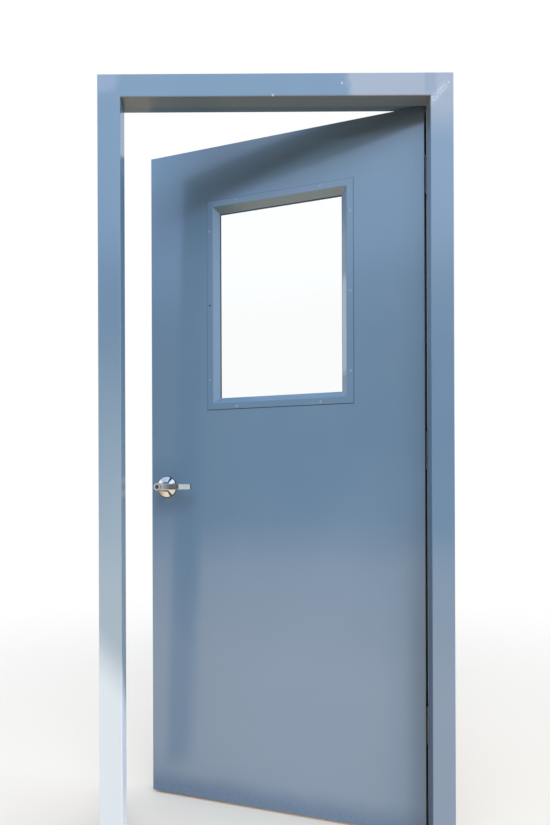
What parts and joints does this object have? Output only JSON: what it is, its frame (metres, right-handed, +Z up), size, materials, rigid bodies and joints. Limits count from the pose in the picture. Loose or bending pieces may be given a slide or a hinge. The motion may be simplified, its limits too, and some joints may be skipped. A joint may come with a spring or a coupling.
{
  "type": "steel utility door in frame",
  "caption": "Hollow steel door leaf with a glazed vision panel and lever lock, hung ajar on butt hinges in a welded single-rabbet steel frame.",
  "frame": {"origin": "at floor level under the hinge jamb, in the middle of its floor anchor's underside", "axes": "+Z up; +X towards the hinge side, along the wall; +Y through the wall towards the pull side, which the leaf opens to"},
  "size_m": [1.007, 0.4347, 2.2025],
  "materials": {
    "blue_paint": "semi-gloss steel-blue enamel",
    "zinc_steel": "zinc-coated sheet",
    "hinge_steel": "satin steel",
    "polished_chrome": "polished chrome",
    "satin_chrome": "satin chrome",
    "key_brass": "worn nickel over brass",
    "window_glass": "clear float glass",
    "glazing_tape": "black glazing tape",
    "silencer_rubber": "grey rubber"
  },
  "bodies": {
    "frame": {"hinge_jamb": "blue_paint", "strike_jamb": "blue_paint", "head": "blue_paint", "hinge_jamb_floor_anchor": "zinc_steel", "strike_jamb_floor_anchor": "zinc_steel", "hinge_jamb_wall_straps": "zinc_steel", "strike_jamb_wall_straps": "zinc_steel", "strike_plate": "satin_chrome", "strike_box": "zinc_steel", "silencers": "silencer_rubber", "hinge_jamb_backings": "zinc_steel", "hinge_top_frame_leaf": "hinge_steel", "hinge_top_pin": "hinge_steel", "hinge_middle_frame_leaf": "hinge_steel", "hinge_middle_pin": "hinge_steel", "hinge_bottom_frame_leaf": "hinge_steel", "hinge_bottom_pin": "hinge_steel"},
    "leaf": {"push_face_sheet": "blue_paint", "pull_face_sheet": "blue_paint", "leaf_top_channel": "zinc_steel", "leaf_foot_channel": "zinc_steel", "push_window_frame": "blue_paint", "pull_window_frame": "blue_paint", "window_glass": "window_glass", "push_glazing_tape": "glazing_tape", "pull_glazing_tape": "glazing_tape", "push_rose": "polished_chrome", "pull_rose": "polished_chrome", "latch_faceplate": "satin_chrome", "latch_case": "zinc_steel", "leaf_hinge_backings": "zinc_steel", "hinge_top_door_leaf": "hinge_steel", "hinge_middle_door_leaf": "hinge_steel", "hinge_bottom_door_leaf": "hinge_steel"},
    "levers": {"push_lever": "satin_chrome", "pull_lever": "satin_chrome", "lever_spindle": "satin_chrome", "key_cylinder": "key_brass"},
    "latch": {"latch_bolt": "satin_chrome"}
  },
  "joints": [
    {"name": "door_swing", "type": "hinge", "parent": "frame", "child": "leaf", "pos_m": [-0.02575, 0.05925, 0], "axis": [0, 0, -1], "range_deg": [-18, 152]},
    {"name": "lever_turn", "type": "hinge", "parent": "leaf", "child": "levers", "pos_m": [-0.84017, 0.29206, 1.036], "axis": [0.309, 0.9511, 0], "range_deg": [0, 50], "stiffness_Nm_per_rad": 1.5, "springref_deg": -34.38},
    {"name": "latch_slide", "type": "slide", "parent": "leaf", "child": "latch", "axis": [0.9511, -0.309, 0], "range_m": [0, 0.0125]}
  ],
  "couplings": [
    {"joint": "latch_slide", "follows": "lever_turn", "m_per_rad": 0.013751}
  ]
}
